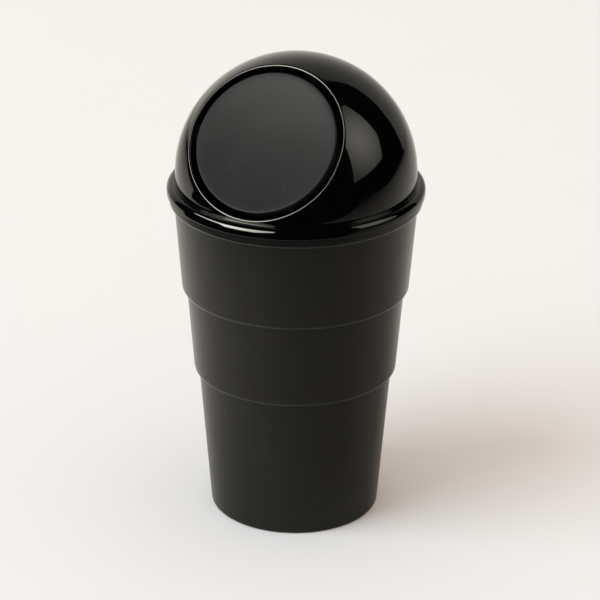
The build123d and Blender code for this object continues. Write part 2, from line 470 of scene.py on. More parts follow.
# Points beside a corner: their distance from its rounding as a share of the radius, the least distance,
# and the most that they take of the free wall. A rounding takes up about its radius of each wall.
SUPPORT_REACH = 0.6
SUPPORT_LEAST = 0.15 * MM
SUPPORT_SHARE = 0.47
ROUNDED_SHARE = 1.1


def turned_tree(name, values, rule):
    """Tree that rounds the corners of a section drawn by a rule and turns it about Z.

    The rule gives corners as (radius, height, rounding); the rounding is None on a smooth curve.
    """
    nodes, inputs = new_tree(name, values)
    corners = rule(inputs)
    index = nodes.add("GeometryNodeInputIndex")
    position = nodes.add("GeometryNodeInputPosition")

    def of_corner(kind, choices):
        return nodes.add(
            "GeometryNodeIndexSwitch",
            {"data_type": kind, "items": len(choices)},
            {0: index, **dict(enumerate(choices, 1))},
        )

    # The section's corners, how far each is rounded, and where straight walls meet
    spots = [{"X": radius, "Z": height} for radius, height, _ in corners]
    place = of_corner("VECTOR", [nodes.add("ShaderNodeCombineXYZ", {}, spot) for spot in spots])
    rounding = of_corner("FLOAT", [0.0 if corner[2] is None else corner[2] for corner in corners])
    straight = of_corner("FLOAT", [0.0 if corner[2] is None else 1.0 for corner in corners])
    row = nodes.add("GeometryNodeMeshLine", {}, {"Count": len(corners)})
    outline = nodes.add("GeometryNodeSetPosition", {}, {0: row, "Position": place})

    # Such a corner gets a point before and after it, so that flat walls stay flat in the shading
    def of_outline(kind, value, at):
        return nodes.add(
            "GeometryNodeSampleIndex",
            {"data_type": kind, "clamp": True},
            {0: outline, "Value": value, "Index": at},
        )

    corner = index.math("FLOOR", index / 3.0)
    side = index - corner * 3.0 - 1.0
    here = of_outline("FLOAT_VECTOR", position, corner)
    beside = of_outline("FLOAT_VECTOR", position, corner + side)
    turn = of_outline("FLOAT", rounding, corner)
    turn_beside = of_outline("FLOAT", rounding, corner + side)
    apart = nodes.add("ShaderNodeVectorMath", {"operation": "DISTANCE"}, {0: here, 1: beside}, "Value")
    free = apart - ROUNDED_SHARE * (turn + turn_beside)
    wanted = turn.math("MAXIMUM", turn * SUPPORT_REACH, SUPPORT_LEAST)
    distance = ROUNDED_SHARE * turn + wanted.math("MINIMUM", wanted, free * SUPPORT_SHARE)
    nearest = distance / apart.math("MAXIMUM", apart, WELD)
    reach = nearest * of_outline("FLOAT", straight, corner)
    moved = nodes.add("ShaderNodeMix", {"data_type": "VECTOR"}, {0: reach, 4: here, 5: beside}, 1)
    triple = nodes.add("GeometryNodeMeshLine", {}, {"Count": 3 * len(corners)})
    marked = nodes.add(
        "GeometryNodeStoreNamedAttribute",
        {"data_type": "FLOAT", "domain": "POINT"},
        {0: triple, "Name": "rounding", "Value": turn * (1.0 - side.math("ABSOLUTE", side))},
    )
    spread = nodes.add("GeometryNodeSetPosition", {}, {0: marked, "Position": moved})
    single = nodes.add("GeometryNodeMergeByDistance", {}, {0: spread, "Distance": WELD})
    line = nodes.add("GeometryNodeMeshToCurve", {}, {0: single})
    kept = nodes.add("GeometryNodeInputNamedAttribute", {"data_type": "FLOAT"}, {"Name": "rounding"})
    rounded = nodes.add(
        "GeometryNodeFilletCurve", {"mode": "POLY"}, {0: line, "Count": inputs.corner_steps, "Radius": kept}
    )
    section = nodes.add("GeometryNodeCurveToMesh", {}, {0: rounded})

    # A sheet of faces, rolled round the axis so that each column follows the section
    rows = nodes.add("GeometryNodeAttributeDomainSize", {"component": "MESH"}, {0: section}, "Point Count")
    sheet = nodes.add("GeometryNodeMeshGrid", {}, {"Vertices X": inputs.columns + 1.0, "Vertices Y": rows})
    column = index.math("FLOOR", index / rows)
    on_section = nodes.add(
        "GeometryNodeSampleIndex",
        {"data_type": "FLOAT_VECTOR", "clamp": True},
        {0: section, "Value": position, "Index": index - column * rows},
    )
    radius = nodes.add("ShaderNodeSeparateXYZ", {}, {0: on_section}, "X")
    height = nodes.add("ShaderNodeSeparateXYZ", {}, {0: on_section}, "Z")
    heading = column * (2.0 * math.pi) / inputs.columns
    cosine = heading.math("COSINE", heading)
    sine = heading.math("SINE", heading)
    rolled_place = nodes.add(
        "ShaderNodeCombineXYZ", {}, {"X": radius * cosine, "Y": radius * sine, "Z": height}
    )
    rolled = nodes.add("GeometryNodeSetPosition", {}, {0: sheet, "Position": rolled_place})
    closed = nodes.add("GeometryNodeMergeByDistance", {}, {0: rolled, "Distance": WELD})
    end_tree(nodes, closed, inputs.finish)
    return nodes.tree


def grown(name, tree, values, material):
    """Object whose plain mesh is what a tree makes with its inputs set."""
    piece = bpy.data.objects.new(name, bpy.data.meshes.new(name))
    bpy.context.scene.collection.objects.link(piece)
    modifier = piece.modifiers.new("Shape", "NODES")
    modifier.node_group = tree
    for item in tree.interface.items_tree:
        if item.in_out == "INPUT":
            modifier[item.identifier] = material if item.name == "Finish" else values[item.name]
    made_plain(piece)
    return piece


def made_plain(piece):
    """Replace a piece's mesh by what its modifiers make of it, and remove them."""
    old = piece.data
    evaluated = piece.evaluated_get(bpy.context.evaluated_depsgraph_get())
    piece.data = bpy.data.meshes.new_from_object(evaluated)
    piece.modifiers.clear()
    bpy.data.meshes.remove(old)
    piece.data.name = piece.name


def named_values(group):
    """A settings group's numbers under their shown names."""
    numbers = [prop for prop in group.bl_rna.properties if prop.type in ("FLOAT", "INT")]
    return {prop.name: getattr(group, prop.identifier) for prop in numbers}


# Meshes


def new_piece(name, points, faces, material):
    """Object with a mesh from points and faces, turned outwards."""
    mesh = bpy.data.meshes.new(name)
    mesh.from_pydata([tuple(point) for point in points], [], faces)
    mesh.materials.append(material)
    piece = bpy.data.objects.new(name, mesh)
    bpy.context.scene.collection.objects.link(piece)
    turn_outwards(mesh)
    return piece


def turn_outwards(mesh):
    """Point a closed mesh's faces outwards."""
    shape = bmesh.new()
    shape.from_mesh(mesh)
    if shape.calc_volume(signed=True) < 0.0:
        bmesh.ops.reverse_faces(shape, faces=shape.faces)
    shape.to_mesh(mesh)
    shape.free()


def smooth_with_edges(mesh):
    """Smooth shading that keeps the real edges sharp."""
    mesh.shade_smooth()
    mesh.set_sharp_from_angle(angle=SHARP_EDGE)


def combine(target, other, operation):
    """Boolean of two closed pieces; the second one is used up."""
    modifier = target.modifiers.new("Join", "BOOLEAN")
    modifier.operation = operation
    modifier.solver = "EXACT"
    modifier.object = other
    made_plain(target)
    bpy.data.objects.remove(other)


def prism(name, outline, low, high, matrix, material):
    """Closed prism on a flat outline, between two distances along the frame's Z."""
    count = len(outline)
    points = [matrix @ Vector((x, y, z)) for z in (low, high) for x, y in outline]
    faces = [tuple(range(count)), tuple(range(count, 2 * count))]
    for start in range(count):
        end = (start + 1) % count
        faces.append((start, end, end + count, start + count))
    faces[0] = faces[0][::-1]
    return new_piece(name, points, faces, material)


def arc(centre, radius, start, end, steps):
    """Points on an arc, with both ends."""
    return [
        (centre[0] + radius * math.cos(turn), centre[1] + radius * math.sin(turn))
        for turn in np.linspace(start, end, steps + 1)
    ]


def rounded_section(corners, steps):
    """Points of an open section with rounded corners, with a point each side of every corner."""
    places = [Vector(corner[:2]) for corner in corners]
    inner = range(1, len(corners) - 1)
    halves = {}
    taken = [0.0] * len(corners)
    for number in inner:
        before = places[number - 1] - places[number]
        after = places[number + 1] - places[number]
        halves[number] = before.angle(after) / 2
        taken[number] = corners[number][2] / math.tan(halves[number])

    def support(corner, beside):
        way = places[beside] - places[corner]
        free = way.length - taken[corner] - taken[beside]
        wanted = max(SUPPORT_REACH * corners[corner][2], SUPPORT_LEAST)
        return places[corner] + way.normalized() * (taken[corner] + min(wanted, SUPPORT_SHARE * free))

    points = [places[0]]
    for number in inner:
        here = places[number]
        rounding = corners[number][2]
        points.append(support(number, number - 1))
        if rounding > 0.0:
            before = (places[number - 1] - here).normalized()
            after = (places[number + 1] - here).normalized()
            centre = here + (before + after).normalized() * rounding / math.sin(halves[number])
            first = here + before * taken[number] - centre
            final = here + after * taken[number] - centre
            start = math.atan2(first.y, first.x)
            sweep = math.remainder(math.atan2(final.y, final.x) - start, 2 * math.pi)
            points += [Vector(point) for point in arc(centre, rounding, start, start + sweep, steps)]
        else:
            points.append(here)
        points.append(support(number, number + 1))
    return points + [places[-1]]


def add_finish(piece, material):
    """Give a finished piece its only material."""
    piece.data.materials.clear()
    piece.data.materials.append(material)


# Finishes

# Grain of the satin plastics: features in a metre, and their depth
CUP_GRAIN = 2600.0
CUP_GRAIN_DEPTH = 0.02 * MM
FLAP_GRAIN = 3200.0
FLAP_GRAIN_DEPTH = 0.012 * MM

# Other patterns: features in a metre, along each axis where there are three numbers
DRIFT = 45.0
FLOW = (220.0, 220.0, 9.0)
WAVE = 180.0
HAZE = 60.0
SPECKS = 2400.0
DRAWN_LINES = (60.0, 4000.0, 4000.0)
STEEL_PATCHES = 500.0
MOTTLE = 14.0

# How far the patterns change the roughness, from their lowest to their highest
DRIFT_GLOSS = 0.10
FLOW_GLOSS = 0.05
GRAIN_GLOSS = 0.08
HAZE_GLOSS = 0.035
SPECK_GLOSS = 0.012
LINE_GLOSS = 0.2
PATCH_GLOSS = 0.1

# How far the patterns lift or lower the colour, as a share of it
PLASTIC_LIFT = 0.18
HAZE_LIFT = 0.25
PATCH_LIFT = 0.12
MOTTLE_LIFT = 0.01

# How the drift and the grain share in the tone of satin plastic, and where haze starts and is full
DRIFT_TONE = 0.6
GRAIN_TONE = 0.4
HAZE_STOPS = ((0.45, 0.0), (0.8, 1.0))

# Strength of the bumps, and the depth of those that have one depth for all pieces
GRAIN_BUMP = 0.5
WAVE_BUMP = 0.25
WAVE_DEPTH = 0.004 * MM
LINE_BUMP = 0.3
LINE_DEPTH = 0.01 * MM

# Rubbed edges: the way over which they fade, how many such ways they reach, how much smoother they are,
# and the roughness of the shine on them
RUBBED_FADE = 0.6 * MM
RUBBED_REACH = 1.6
RUBBED_SMOOTHING = 0.1
RUBBED_COAT = 0.12

# The lid's matt inside: over what depth the polish ends, and its finish
POLISH_FADE = 0.15 * MM
MATT_ROUGHNESS = 0.9
MATT_SHEEN = 0.05


def new_finish(name):
    """Empty material and its tree."""
    material = bpy.data.materials.new(name)
    material.use_nodes = True
    material.node_tree.nodes.clear()
    return material, Nodes(material.node_tree)


def end_finish(nodes, sockets):
    """Shader with the given sockets, on the surface."""
    shader = nodes.add("ShaderNodeBsdfPrincipled", {}, sockets)
    nodes.add("ShaderNodeOutputMaterial", {}, {"Surface": shader})


def noise(nodes, place, scale, detail=2.0, roughness=0.5):
    """Even noise about 0.5, with features one part in scale of a metre across."""
    return nodes.add(
        "ShaderNodeTexNoise",
        {"noise_dimensions": "3D"},
        {"Vector": place, "Scale": scale, "Detail": detail, "Roughness": roughness},
        "Fac",
    )


def tinted(nodes, values, mask, lift):
    """Colour that goes from a little darker to a little lighter with a mask from 0 to 1."""
    dark = tuple(value * (1.0 - lift) for value in values) + (1.0,)
    light = tuple(value * (1.0 + lift) for value in values) + (1.0,)
    return nodes.add("ShaderNodeMix", {"data_type": "RGBA"}, {0: mask, 6: dark, 7: light}, 2)


def rubbed_edges(nodes, place, edges):
    """Mask that is 1 at the heights of some level edges and fades out beside them."""
    height = nodes.add("ShaderNodeSeparateXYZ", {}, {0: place}, "Z")
    mask = 0.0
    for edge in edges:
        away = height - edge
        near = away.math("ABSOLUTE", away) / RUBBED_FADE
        mask = mask + nodes.add("ShaderNodeClamp", {}, {0: RUBBED_REACH - near})
    return mask


def moulded_plastic(name, values, roughness, sheen, grain_scale, grain_depth, edges=()):
    """Satin moulded plastic: fine spark-eroded grain, slow drifts in tone and gloss, edges rubbed bright."""
    material, nodes = new_finish(name)
    place = nodes.add("ShaderNodeTexCoord", {}, {}, "Object")
    grain = noise(nodes, place, grain_scale, 3.0, 0.6)
    drift = noise(nodes, place, DRIFT, 3.0)
    flow = nodes.add("ShaderNodeMapping", {"vector_type": "POINT"}, {0: place, "Scale": FLOW})
    streak = noise(nodes, flow, 1.0, 2.0)
    gloss = roughness + DRIFT_GLOSS * (drift - 0.5) + FLOW_GLOSS * (streak - 0.5)
    gloss = gloss + GRAIN_GLOSS * (grain - 0.5)
    bump = nodes.add(
        "ShaderNodeBump", {}, {"Strength": GRAIN_BUMP, "Distance": grain_depth, "Height": grain}
    )
    sockets = {
        "Base Color": tinted(nodes, values, drift * DRIFT_TONE + grain * GRAIN_TONE, PLASTIC_LIFT),
        "Roughness": gloss,
        "Normal": bump,
        "Specular IOR Level": sheen,
    }
    if edges:
        rubbed = rubbed_edges(nodes, place, edges)
        sockets["Roughness"] = gloss - RUBBED_SMOOTHING * rubbed
        sockets["Coat Weight"] = rubbed
        sockets["Coat Roughness"] = RUBBED_COAT
    end_finish(nodes, sockets)
    return material


def polished_plastic(name, values, roughness, centre, inside):
    """Gloss moulded plastic: faint waviness, and a thin haze of handling that dulls it in patches.

    Nearer to the centre than the inside radius it is left matt, as it comes from the mould.
    """
    material, nodes = new_finish(name)
    place = nodes.add("ShaderNodeTexCoord", {}, {}, "Object")
    wave = noise(nodes, place, WAVE, 1.0)
    haze = noise(nodes, place, HAZE, 4.0, 0.6)
    speck = noise(nodes, place, SPECKS, 1.0)
    dull = nodes.add("ShaderNodeValToRGB", {"stops": HAZE_STOPS}, {0: haze})
    gloss = roughness + HAZE_GLOSS * dull + SPECK_GLOSS * speck
    bump = nodes.add("ShaderNodeBump", {}, {"Strength": WAVE_BUMP, "Distance": WAVE_DEPTH, "Height": wave})
    tone = tinted(nodes, values, haze, HAZE_LIFT)
    polished = nodes.add(
        "ShaderNodeBsdfPrincipled", {}, {"Base Color": tone, "Roughness": gloss, "Normal": bump}
    )
    matt = nodes.add(
        "ShaderNodeBsdfPrincipled",
        {},
        {"Base Color": tone, "Roughness": MATT_ROUGHNESS, "Specular IOR Level": MATT_SHEEN},
    )
    away = nodes.add("ShaderNodeVectorMath", {"operation": "DISTANCE"}, {0: place, 1: centre}, "Value")
    unpolished = nodes.add("ShaderNodeClamp", {}, {0: (inside - away) / POLISH_FADE})
    surface = nodes.add("ShaderNodeMixShader", {}, {0: unpolished, 1: polished, 2: matt})
    nodes.add("ShaderNodeOutputMaterial", {}, {"Surface": surface})
    return material


def drawn_steel(name, values, roughness):
    """Steel with fine lines along X, the way it was drawn."""
    material, nodes = new_finish(name)
    place = nodes.add("ShaderNodeTexCoord", {}, {}, "Object")
    along = nodes.add("ShaderNodeMapping", {"vector_type": "POINT"}, {0: place, "Scale": DRAWN_LINES})
    line = noise(nodes, along, 1.0, 3.0)
    patch = noise(nodes, place, STEEL_PATCHES, 3.0)
    bump = nodes.add("ShaderNodeBump", {}, {"Strength": LINE_BUMP, "Distance": LINE_DEPTH, "Height": line})
    end_finish(
        nodes,
        {
            "Base Color": tinted(nodes, values, patch, PATCH_LIFT),
            "Roughness": roughness + LINE_GLOSS * (line - 0.5) + PATCH_GLOSS * (patch - 0.5),
            "Metallic": 1.0,
            "Normal": bump,
        },
    )
    return material


# Pieces


def cup_rule(size):
    """Section of the cup: up the outside over the steps, and down the inside."""
    slope = size.wall_draft.math("TANGENT", size.wall_draft)
    step_radius = size.base_radius
    step_height = 0.0
    outside = [
        (0.0, size.foot_recess, 0.0),
        (size.base_radius - size.foot_width, size.foot_recess, 0.0),
        (size.base_radius - size.foot_width, 0.0, 0.0),
        (size.base_radius, 0.0, size.base_round),
    ]
    inside = [(0.0, size.foot_recess + size.floor, 0.0)]
    low = size.foot_recess + size.floor
    tiers = (size.lower_tier, size.middle_tier, size.upper_tier)
    for tier in tiers:
        foot_radius = step_radius
        foot_height = step_height
        top_radius = foot_radius + tier * slope
        step_height = foot_height + tier
        is_top = tier is tiers[-1]
        outward_step = size.rim_step if is_top else size.tier_step
        step_radius = top_radius + outward_step
        outside.append((top_radius, step_height, 0.0))
        outside.append((step_radius, step_height, size.tier_round))
        high = step_height + (size.rim_height if is_top else size.wall)
        low_radius = foot_radius + (low - foot_height) * slope - size.wall
        high_radius = foot_radius + (high - foot_height) * slope - size.wall
        inside.append((low_radius, low, size.inside_round))
        inside.append((high_radius, high, size.rim_round if is_top else size.tier_round))
        low = high
    outside.append((step_radius, step_height + size.rim_height, size.rim_round))
    return outside + inside[::-1]


class CARBIN_OT_cup(bpy.types.Operator):
    """Build the stepped cup"""

    bl_idname = "carbin.cup"
    bl_label = "Cup"

    def execute(self, context):
        settings = context.scene.car_bin
        sizes = settings.cup
        finishes = settings.finishes
        first_step = sizes.lower_tier
        second_step = first_step + sizes.middle_tier
        finish = moulded_plastic(
            "satin_black_plastic",
            finishes.cup_colour,
            finishes.cup_roughness,
            finishes.cup_sheen,
            CUP_GRAIN,
            CUP_GRAIN_DEPTH,
            edges=(first_step, second_step, second_step + sizes.upper_tier),
        )
        values = named_values(sizes)
        tree = turned_tree("Turned Cup", values, cup_rule)
        cup = grown("cup", tree, values, finish)
        turn_outwards(cup.data)
        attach(cup, "bin")
        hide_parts("bin_cup")
        return {"FINISHED"}


# The most of a dome's way that is left free at each end for the closer rings
DOME_END = 0.1


def level_circle(radius, height, headings):
    """Points on a circle about Z."""
    return np.stack(
        [radius * np.cos(headings), radius * np.sin(headings), np.full_like(headings, height)], axis=1
    )


def dome_rings(start, end, centre, radius, edge, count):
    """Rings over a sphere from one circle on it to another, closer together near both ends."""
    first = (start - centre) / radius
    final = (end - centre) / radius
    opened = np.arccos(np.clip(np.sum(first * final, axis=1), -1.0, 1.0))[:, None]
    near = np.minimum(edge / radius / opened, DOME_END)
    rings = []
    for step in np.linspace(0.0, 1.0, count):
        part = near + (1.0 - 2.0 * near) * step
        way = np.sin((1.0 - part) * opened) * first + np.sin(part * opened) * final
        rings.append(centre + radius * way / np.sin(opened))
    return rings


def lid_rings(sizes, layout):
    """All rings of the lid in order: down the ring and the skirt, up inside the dome, out at the opening."""
    headings = np.linspace(0.0, 2.0 * math.pi, sizes.columns, endpoint=False)
    centre = np.array(layout.dome_centre)
    across, upslope, outward = (np.array(axis) for axis in (layout.across, layout.upslope, layout.outward))

    def opening_circle(radius, out):
        turn = np.cos(headings)[:, None] * across + np.sin(headings)[:, None] * upslope
        return centre + radius * turn + out * outward

    section = rounded_section(
        [
            (layout.dome_foot, layout.ledge_top, 0.0),
            (layout.ledge_radius, layout.ledge_top, sizes.ledge_round),
            (layout.ledge_radius, layout.bead_top, 0.0),
            (layout.ring_radius, layout.bead_top, layout.bead_round),
            (layout.ring_radius, layout.rim_top, sizes.ring_round),
            (layout.plug_top, layout.rim_top, 0.0),
            (layout.plug_foot, layout.plug_bottom, sizes.plug_round),
            (layout.plug_foot - sizes.plug_wall, layout.plug_bottom, sizes.plug_round),
            (layout.plug_top - sizes.plug_wall, layout.rim_top, 0.0),
            (layout.inner_foot, layout.ledge_top, 0.0),
        ],
        sizes.corner_steps,
    )
    rings = [level_circle(radius, height, headings) for radius, height in section]

    edge = sizes.opening_round
    inner_edge = math.sqrt(layout.dome_inside**2 - sizes.opening_radius**2)
    inner_circle = opening_circle(sizes.opening_radius, inner_edge)
    rings += dome_rings(rings[-1], inner_circle, centre, layout.dome_inside, edge / 2, sizes.dome_rings // 2)
    rings.append(inner_circle)

    round_radius = sizes.opening_radius + edge
    round_out = math.sqrt((layout.dome_radius - edge) ** 2 - round_radius**2)
    lean = math.atan2(round_out, round_radius)
    rings.append(opening_circle(sizes.opening_radius, (inner_edge + round_out) / 2))
    for radius, out in arc((round_radius, round_out), edge, math.pi, lean, sizes.corner_steps):
        rings.append(opening_circle(radius, out))
    rings += dome_rings(rings[-1], rings[0], centre, layout.dome_radius, edge / 2, sizes.dome_rings)
    return rings


def pin_hole(radius, reach, frame_matrix, hinge, finish):
    """Round bar along the hinge's axis, to cut a hole for the pin."""
    outline = arc((0.0, 0.0), radius, 0.0, 2.0 * math.pi, hinge.columns)[:-1]
    return prism("hole", outline, -reach, reach, frame_matrix, finish)


def lid_lugs(settings, layout, finish):
    """The two hinge lugs, from round the pin into the dome's wall."""
    in_wall = layout.dome_inside + settings.lid.wall / 2
    outline = arc((0.0, 0.0), layout.lug_radius, math.pi / 2, 1.5 * math.pi, settings.hinge.columns // 2)
    for across_slope in (-layout.lug_radius, layout.lug_radius):
        out = layout.hinge_out + across_slope
        up_slope = math.sqrt(in_wall**2 - layout.lug_outer**2 - out**2) - layout.hinge_up
        outline.append((up_slope, across_slope))
    sides = ((layout.lug_inner, layout.lug_outer), (-layout.lug_outer, -layout.lug_inner))
    return [prism("lug", outline, low, high, layout.hinge_frame, finish) for low, high in sides]


class CARBIN_OT_lid(bpy.types.Operator):
    """Build the domed lid with its ring, opening and hinge lugs"""

    bl_idname = "carbin.lid"
    bl_label = "Lid"

    def execute(self, context):
        settings = context.scene.car_bin
        layout = Layout(settings)
        hinge = settings.hinge
        finishes = settings.finishes
        finish = polished_plastic(
            "gloss_black_plastic",
            finishes.lid_colour,
            finishes.lid_roughness,
            tuple(layout.dome_centre),
            layout.dome_inside + settings.lid.wall / 4,
        )

        rings = lid_rings(settings.lid, layout)
        columns = settings.lid.columns
        faces = []
        for ring in range(len(rings)):
            below = ring * columns
            above = (ring + 1) % len(rings) * columns
            for column in range(columns):
                following = (column + 1) % columns
                faces.append((below + column, below + following, above + following, above + column))
        lid = new_piece("dome_lid_shell", np.concatenate(rings), faces, finish)

        for lug in lid_lugs(settings, layout, finish):
            combine(lid, lug, "UNION")
        reach = layout.lug_outer + hinge.lug_wall
        hole = pin_hole(hinge.pin_radius + hinge.pin_hold, reach, layout.hinge_frame, hinge, finish)
        combine(lid, hole, "DIFFERENCE")

        smooth_with_edges(lid.data)
        add_finish(lid, finish)
        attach(lid, "lid")
        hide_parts("dome_lid")
        return {"FINISHED"}


DISH_STEPS = 12
STOP_STEPS = 8
# Where in the plate the rib and the ears end, as a share of its thickness from the front
PLATE_JOIN = 0.75


def dished(radius, height, dish):
    """Points from the middle of a dish to just inside its edge, on a smooth curve."""
    shares = [step / DISH_STEPS for step in range(DISH_STEPS)]
    return [(radius * share, height - dish * (1.0 - share**2), None) for share in shares]


def flap_rule(size):
    """Section of the flap: out along its back, round the side wall and in over the dished face."""
    back = size.face - size.plate
    inner = size.radius - size.wall
    dish_radius = size.radius - size.edge_round - size.land
    return [
        *dished(inner, back, size.dish),
        (inner, back, 0.0),
        (inner, size.rear, 0.0),
        (size.radius, size.rear, 0.0),
        (size.radius, size.face, size.edge_round),
        (dish_radius, size.face, None),
        *dished(dish_radius, size.face, size.dish)[::-1],
    ]


def flap_details(settings, layout, to_hinge, finish):
    """The spring's rib, the two side stops and the two hinge ears, in the flap's own upright frame."""
    sizes = settings.flap
    upright = Matrix.Identity(4)
    side_middle = layout.flap_radius - sizes.wall / 2
    in_plate = layout.flap_face - PLATE_JOIN * sizes.plate

    half_rib = sizes.rib_width / 2
    rib_across = layout.coil_half + settings.spring.flap_leg * layout.leg_lean / 2
    rib_top = math.sqrt(side_middle**2 - (rib_across + half_rib) ** 2)
    rib_foot = layout.hinge_up - settings.spring.flap_leg
    rib_outline = [
        (rib_across - half_rib, rib_foot),
        (rib_across + half_rib, rib_foot),
        (rib_across + half_rib, rib_top),
        (rib_across - half_rib, rib_top),
    ]
    details = [prism("rib", rib_outline, layout.flap_rear, in_plate, upright, finish)]

    outer_half = math.asin(sizes.stop_width / 2 / layout.stop_radius)
    inner_half = math.asin(sizes.stop_width / 2 / side_middle)
    for middle in (0.0, math.pi):
        outer = arc((0.0, 0.0), layout.stop_radius, middle - outer_half, middle + outer_half, STOP_STEPS)
        inner = arc((0.0, 0.0), side_middle, middle + inner_half, middle - inner_half, STOP_STEPS)
        details.append(prism("stop", outer + inner, layout.flap_rear, layout.stop_front, upright, finish))

    ear_outline = arc((0.0, 0.0), layout.ear_radius, math.pi, 2.0 * math.pi, settings.hinge.columns // 2)
    ear_height = in_plate - layout.hinge_out
    ear_outline += [(layout.ear_radius, ear_height), (-layout.ear_radius, ear_height)]
    for low, high in ((layout.ear_inner, layout.ear_outer), (-layout.ear_outer, -layout.ear_inner)):
        details.append(prism("ear", ear_outline, low, high, to_hinge, finish))
    return details


class CARBIN_OT_flap(bpy.types.Operator):
    """Build the round push flap with its hinge ears and spring rib"""

    bl_idname = "carbin.flap"
    bl_label = "Flap"

    def execute(self, context):
        settings = context.scene.car_bin
        layout = Layout(settings)
        sizes = settings.flap
        hinge = settings.hinge
        finishes = settings.finishes
        finish = moulded_plastic(
            "satin_grey_plastic",
            finishes.flap_colour,
            finishes.flap_roughness,
            finishes.flap_sheen,
            FLAP_GRAIN,
            FLAP_GRAIN_DEPTH,
        )
        values = {
            "Face": layout.flap_face,
            "Rear": layout.flap_rear,
            "Radius": layout.flap_radius,
            "Plate": sizes.plate,
            "Wall": sizes.wall,
            "Edge Round": sizes.edge_round,
            "Land": sizes.land,
            "Dish": sizes.dish,
            "Columns": sizes.columns,
            "Corner Steps": sizes.corner_steps,
        }
        tree = turned_tree("Turned Flap", values, flap_rule)
        flap = grown("push_flap_shell", tree, values, finish)
        turn_outwards(flap.data)

        # What is added lies flush with the flap's back, so it is joined before the flap is leant over
        to_hinge = layout.opening_frame.inverted() @ layout.hinge_frame
        for detail in flap_details(settings, layout, to_hinge, finish):
            combine(flap, detail, "UNION")
        hole = pin_hole(hinge.pin_radius + hinge.pin_turn, layout.lug_outer, to_hinge, hinge, finish)
        combine(flap, hole, "DIFFERENCE")

        flap.data.transform(layout.opening_frame)
        smooth_with_edges(flap.data)
        add_finish(flap, finish)
        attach(flap, "flap")
        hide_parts("push_flap")
        return {"FINISHED"}


def pin_rule(size):
    """Section of the pin, with a chamfer at each end."""
    neck = size.radius - size.chamfer
    shoulder = size.half_length - size.chamfer
    return [
        (0.0, -size.half_length, 0.0),
        (neck, -size.half_length, 0.0),
        (size.radius, -shoulder, 0.0),
        (size.radius, shoulder, 0.0),
        (neck, size.half_length, 0.0),
        (0.0, size.half_length, 0.0),
    ]


class CARBIN_OT_pin(bpy.types.Operator):
    """Build the hinge pin"""

    bl_idname = "carbin.pin"
    bl_label = "Hinge Pin"

    def execute(self, context):
        settings = context.scene.car_bin
        layout = Layout(settings)
        finishes = settings.finishes
        hinge = settings.hinge
        finish = drawn_steel("drawn_steel", finishes.pin_colour, finishes.steel_roughness)
        values = {
            "Radius": hinge.pin_radius,
            "Half Length": layout.lug_outer,
            "Chamfer": hinge.pin_chamfer,
            "Columns": hinge.columns,
            "Corner Steps": hinge.corner_steps,
        }
        tree = turned_tree("Turned Pin", values, pin_rule)
        pin = grown("steel_pin", tree, values, finish)
        pin.data.transform(layout.hinge_frame)
        turn_outwards(pin.data)
        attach(pin, "lid")
        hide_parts("hinge_pin")
        return {"FINISHED"}


def spring_tree(values):
    """Tree for a wire that follows a coil and leaves it along a straight leg at each end."""
    nodes, inputs = new_tree("Wound Spring", values)
    index = nodes.add("GeometryNodeInputIndex")
    last = inputs.coil_points + 1.0
    along = nodes.add("ShaderNodeClamp", {}, {0: (index - 1.0) / (last - 2.0)})
    turn = inputs.start_angle + along * inputs.sweep
    cosine = turn.math("COSINE", turn)
    sine = turn.math("SINE", turn)
    rise = 2.0 * inputs.coil_half / inputs.sweep
    speed = rise.math("SQRT", inputs.coil_radius * inputs.coil_radius + rise * rise)
    at_start = index.math("LESS_THAN", index, 0.5)
    at_end = index.math("GREATER_THAN", index, last - 0.5)
    leg = (at_end * inputs.flap_leg - at_start * inputs.lid_leg) / speed
    place = nodes.add(
        "ShaderNodeCombineXYZ",
        {},
        {
            "X": inputs.coil_radius * (cosine - sine * leg),
            "Y": inputs.coil_radius * (sine + cosine * leg),
            "Z": (2.0 * along - 1.0) * inputs.coil_half + rise * leg,
        },
    )
    row = nodes.add("GeometryNodeMeshLine", {}, {"Count": last + 1.0})
    path = nodes.add("GeometryNodeSetPosition", {}, {0: row, "Position": place})
    line = nodes.add("GeometryNodeMeshToCurve", {}, {0: path})
    ring = nodes.add(
        "GeometryNodeCurvePrimitiveCircle",
        {},
        {"Resolution": inputs.wire_sides, "Radius": inputs.wire_radius},
    )
    wire = nodes.add("GeometryNodeCurveToMesh", {}, {0: line, 1: ring, "Fill Caps": True})
    end_tree(nodes, wire, inputs.finish)
    return nodes.tree


class CARBIN_OT_spring(bpy.types.Operator):
    """Build the torsion spring round the pin"""

    bl_idname = "carbin.spring"
    bl_label = "Torsion Spring"

    def execute(self, context):
        settings = context.scene.car_bin
        layout = Layout(settings)
        finishes = settings.finishes
        finish = drawn_steel("spring_wire_steel", finishes.spring_colour, finishes.steel_roughness)
        sizes = settings.spring
        values = {
            "Coil Radius": layout.coil_radius,
            "Coil Half": layout.coil_half,
            "Start Angle": layout.leg_angle,
            "Sweep": layout.coil_sweep,
            "Lid Leg": layout.lid_leg,
            "Flap Leg": sizes.flap_leg,
            "Wire Radius": layout.wire_radius,
            "Coil Points": sizes.turns * sizes.turn_steps,
            "Wire Sides": sizes.wire_sides,
        }
        spring = grown("spring_wire", spring_tree(values), values, finish)
        spring.data.transform(layout.hinge_frame)
        turn_outwards(spring.data)
        middle = Vector(hinge_joint["pos_m"])
        half = layout.across * layout.coil_half
        tuple(middle - half)
        tuple(middle + half)
        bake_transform(spring)
        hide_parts("torsion_spring")
        return {"FINISHED"}


# Stage

PAPER_TINT = (1.0, 0.965, 0.87, 1.0)
PAPER_ROUGHNESS = 0.9
PAPER_SHEEN = 0.2


